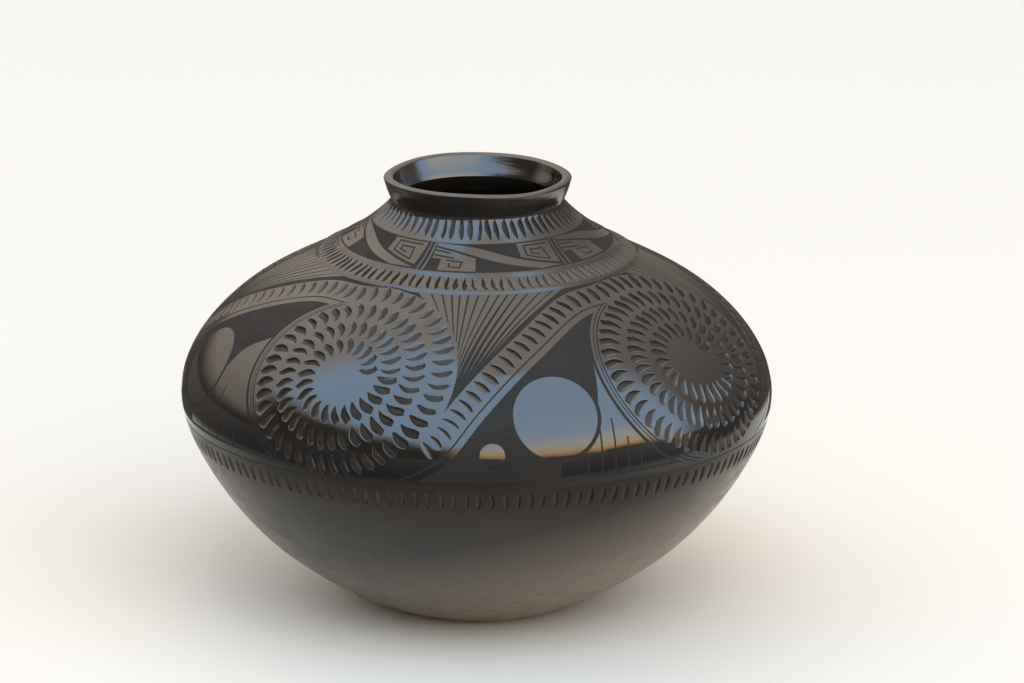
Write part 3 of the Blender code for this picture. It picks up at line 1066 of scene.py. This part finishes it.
burnished = clay(
    "burnished_clay", dark=(0.007, 0.006, 0.005), light=(0.013, 0.011, 0.009), rough=(0.04, 0.09),
    ior=2.0, streak=(7.0, 0.02), grain=(700.0, 0.002), shine=(0.100, 0.124, 0.10, 0.5))
matte = clay(
    "matte_slip", dark=(0.012, 0.0092, 0.0073), light=(0.018, 0.014, 0.011), rough=(0.60, 0.72),
    ior=1.4, streak=(5.0, 0.03), grain=(1400.0, 0.02))
cut = clay(
    "cut_clay", dark=(0.024, 0.019, 0.015), light=(0.045, 0.036, 0.029), rough=(0.45, 0.6),
    ior=1.4, streak=(1.0, 0.06), grain=(900.0, 0.04), cloud=160.0)
# The satin clay's foot colour is a painted reflection of the pale floor, stronger on the right as
# painted light
satin = clay(
    "satin_clay", dark=(0.010, 0.0070, 0.0045), light=(0.018, 0.013, 0.008), rough=(0.20, 0.36),
    ior=1.62, streak=(2.0, 0.05), grain=(900.0, 0.01), cloud=12.0,
    shine=(0.094, 0.045, 0.18, 0.42), foot=(0.068, 0.0, (0.165, 0.124, 0.078)))
polished = clay(
    "polished_clay", dark=(0.008, 0.006, 0.0042), light=(0.014, 0.0105, 0.0075),
    rough=(0.07, 0.17), ior=2.05, streak=(8.0, 0.12), grain=(800.0, 0.004))


# Pieces

# Steps between rings outside and inside the wall, and the rings under the foot and on the floor
OUTER_STEP = 2.5
INNER_STEP = 6.0
NECK_STEP = 1.5
LIP_STEP = 1.0
LIP_PLACES = 13
FOOT_LIFT = 0.3
FOOT_RADII = (0.0, 10.0, 20.0, 30.0, 36.0)
FLOOR_RADII = (28.0, 18.0, 9.0, 0.0)


def make_bowl():
    skin = Skin()
    foot = [flat_ring(radius, FOOT_LIFT) for radius in FOOT_RADII]
    skin.rings(foot + [ring(profile.low)], 0.86, 0.92)
    skin.rings(wall_rings(profile.low, BASE_SEAM, OUTER_STEP), 0.0, 0.6)
    skin.rings(edge_rings(BASE_SEAM, 0.0, WALL), 0.93, 0.95)
    skin.rings(wall_rings(BASE_SEAM, profile.low, INNER_STEP, WALL), 0.61, 0.85)
    floor = [flat_ring(radius, WALL) for radius in FLOOR_RADII]
    skin.rings([ring(profile.low, WALL)] + floor, 0.96, 1.0)
    skin.piece("bowl", [satin], (0,), "root", "bowl_clay", "base_bowl")


def make_carved(sheet, step, bakes, *labels):
    """An ornamented piece: its outer face, upper seam, inner face and lower seam."""
    skin = Skin()
    skin.sheet(sheet, *bakes[0])
    skin.rings(edge_rings(sheet.high, 0.0, WALL), *bakes[1])
    skin.rings(wall_rings(sheet.high, sheet.low, step, WALL), *bakes[2])
    skin.rings(edge_rings(sheet.low, WALL, 0.0), *bakes[3])
    skin.piece(*labels)


def make_lip():
    skin = Skin()
    half = 0.5 * WALL
    outer = wall_rings(LIP_SEAM, profile.high, LIP_STEP)
    turned = [
        ring(profile.high, half - half * math.cos(angle), LIP_CROWN * math.sin(angle))
        for angle in np.linspace(0.0, math.pi, LIP_PLACES)[1:-1]
    ]
    inner = wall_rings(profile.high, LIP_SEAM, LIP_STEP, WALL)
    skin.rings(outer + turned + inner, 0.0, 0.94)
    skin.rings(edge_rings(LIP_SEAM, WALL, 0.0), 0.95, 0.99)
    skin.piece("lip", [polished], (0,), "root", "lip_clay", "lip_coil")


make_bowl()
make_carved(
    wall_sheet(), INNER_STEP, ((0.0, 0.7), (0.94, 0.96), (0.71, 0.93), (0.97, 0.99)),
    "carved_wall", [burnished, matte, satin, cut], (0, 1, 2, 0, 2, 3, 3), "root", "belly_clay",
    "belly_coil", "shoulder_coil")
make_carved(
    neck_sheet(), NECK_STEP, ((0.0, 0.55), (0.92, 0.95), (0.56, 0.91), (0.96, 0.99)),
    "notched_neck", [polished, cut], (0, 0, 0, 0, 0, 1, 1), "root", "neck_clay", "neck_coil")
make_lip()


# Floor, camera and light

FLOOR_REACH = 30.0
FLOOR_COLOUR = (0.82, 0.735, 0.625)

# Painted reflection: only glossy rays see the floor darken to this between two distances from a
# place behind the pot, so the burnish mirrors a dark surround past a small pale ledge
DARK_REFLECTION_CENTRE = (0.05, 0.12, 0.0)
DARK_REFLECTION_SPAN = (0.32, 0.46)
DARK_REFLECTION_COLOUR = (0.05, 0.04, 0.03)


def make_floor():
    """A pale floor, which the burnished clay mirrors as a small pale ledge in a painted dark
    surround.
    """
    mesh = bpy.data.meshes.new("floor")
    far = FLOOR_REACH
    corners = [(-far, -far, 0.0), (far, -far, 0.0), (far, far, 0.0), (-far, far, 0.0)]
    mesh.from_pydata(corners, [], [(0, 1, 2, 3)])
    floor = linked("floor", mesh)
    material = bpy.data.materials.new("pale_floor")
    material.use_nodes = True
    tree = material.node_tree
    shader = tree.nodes["Principled BSDF"]
    shader.inputs["Roughness"].default_value = 0.6

    place = add_node(tree, "TexCoord", {}).outputs["Object"]
    # Painted reflection: past this span, only glossy rays see the floor as dark
    reach = add_node(tree, "VectorMath", {0: place, 1: DARK_REFLECTION_CENTRE}, operation="DISTANCE")
    past = soft_range(tree, reach.outputs["Value"], *DARK_REFLECTION_SPAN, 0.0, 1.0)
    seen = add_node(tree, "LightPath", {}).outputs["Is Glossy Ray"]
    colour = mixed(tree, computed(tree, "MULTIPLY", past, seen), FLOOR_COLOUR, DARK_REFLECTION_COLOUR)
    tree.links.new(colour, shader.inputs["Base Color"])
    mesh.materials.append(material)


CAMERA_PLACE = (0.0, -3.0, 0.9655)
CAMERA_PITCH = math.radians(15.48)
CAMERA_YAW = math.radians(0.34)
CAMERA_ROLL = math.radians(0.38)


def make_camera():
    data = bpy.data.cameras.new("camera")
    data.lens = 216.0
    data.sensor_width = 36.0
    data.clip_end = 100.0
    camera = linked("camera", data)
    yaw = Matrix.Rotation(-CAMERA_YAW, 4, "Z")
    pitch = Matrix.Rotation(math.pi / 2 - CAMERA_PITCH, 4, "X")
    roll = Matrix.Rotation(CAMERA_ROLL, 4, "Z")
    camera.matrix_world = Matrix.Translation(CAMERA_PLACE) @ (yaw @ pitch @ roll)
    bpy.context.scene.camera = camera


# Colours of the room by the height of the direction, from level to straight up
ROOM_BACK = (
    (0.0, (0.6, 0.5, 0.42)), (0.3, (0.85, 0.73, 0.62)), (0.6, (1.3, 1.14, 0.98)),
    (0.9, (1.3, 1.16, 1.02)), (1.0, (1.25, 1.12, 1.0)),
)
ROOM_WINDOW = (
    (0.0, (0.1, 0.075, 0.05)), (0.1, (0.16, 0.125, 0.09)), (0.17, (0.6, 0.6, 0.6)),
    (0.27, (1.2, 1.55, 2.0)), (0.45, (1.2, 1.7, 2.35)), (1.0, (1.25, 1.7, 2.25)),
)
ROOM_GLOW = (
    (0.02, (0.3, 0.2, 0.12)), (0.07, (2.3, 1.4, 0.65)), (0.13, (3.0, 2.1, 1.15)),
    (0.24, (2.5, 2.25, 1.95)), (0.44, (1.5, 1.85, 2.3)), (1.0, (1.25, 1.7, 2.25)),
)

# The skyline in the window falls to the right, and both it and the glow waver
SKYLINE_FALL = 0.35
SKYLINE_WAVER = 0.14
GLOW_WAVER = 0.10

# Turn of each part of the room from the camera's side, and the start and end of its soft edge
WINDOW = (-3.0, -0.22, 0.10)
GLOW = (34.0, 0.66, 0.88)
DIM_SIDE = (115.0, 0.1, 0.9)
DIM = 0.38
TREES = (-105.0, 0.3, 0.7)
TREE_TOPS = (0.02, 0.22)
TREE_COLOUR = (0.11, 0.085, 0.06)

# The eaves over the window, which also fall to the right
EAVES_FALL = 0.10
EAVES = (0.976, 0.992)
EAVES_COLOUR = (1.25, 1.12, 1.0)

# A soft lamp in front and above, which the burnish doesn't mirror
LAMP_PLACE = (0.9, -2.9, 3.1)


def make_light():
    """A pale room with a broad window of evening sky behind the camera, and a soft lamp."""
    world = bpy.data.worlds.new("room")
    bpy.context.scene.world = world
    world.use_nodes = True
    tree = world.node_tree
    place = add_node(tree, "TexCoord", {}).outputs["Generated"]
    clouds = add_node(tree, "TexNoise", {"Vector": place, "Scale": 5.0}).outputs["Fac"]

    def toward(turn, start, end, low=0.0, high=1.0):
        """How far directions lie towards a turn, with a soft edge."""
        angle = math.radians(turn)
        level = along(tree, place, (math.sin(angle), -math.cos(angle), 0.0))
        return soft_range(tree, level, start, end, low, high)

    def wavering(fall, reach):
        """Height that falls to the right, and wavers by no more than half the reach either way."""
        waver = ranged(tree, clouds, 0.0, 1.0, -0.5 * reach, 0.5 * reach)
        return computed(tree, "ADD", waver, along(tree, place, (fall, 0.0, 1.0)))

    height = along(tree, place, (0.0, 0.0, 1.0))
    sky = ramp(tree, wavering(SKYLINE_FALL, SKYLINE_WAVER), ROOM_WINDOW)
    glow = ramp(tree, wavering(0.0, GLOW_WAVER), ROOM_GLOW)
    window = mixed(tree, toward(*GLOW), sky, glow)
    under = soft_range(tree, along(tree, place, (EAVES_FALL, 0.0, 1.0)), *EAVES, 0.0, 1.0)
    window = mixed(tree, under, window, EAVES_COLOUR)
    back = add_node(tree, "VectorMath", {
        0: ramp(tree, height, ROOM_BACK), "Scale": toward(*DIM_SIDE, 1.0, DIM),
    }, operation="SCALE")
    room = mixed(tree, toward(*WINDOW), back.outputs["Vector"], window)
    tops = soft_range(tree, height, *TREE_TOPS, 1.0, 0.0)
    room = mixed(tree, computed(tree, "MULTIPLY", toward(*TREES), tops), room, TREE_COLOUR)
    background = tree.nodes["Background"]
    background.inputs["Strength"].default_value = 0.95
    tree.links.new(room, background.inputs["Color"])

    data = bpy.data.lights.new("lamp", "AREA")
    data.size = 3.2
    data.energy = 68.0
    data.color = (1.0, 0.95, 0.88)
    lamp = linked("lamp", data)
    lamp.location = LAMP_PLACE
    lamp.rotation_euler = (-Vector(LAMP_PLACE)).to_track_quat("-Z", "Y").to_euler()
    lamp.visible_glossy = False
    lamp.visible_camera = False


make_floor()
make_camera()
make_light()
bpy.context.scene.view_settings.view_transform = "Standard"

bpy.context.view_layer.update()
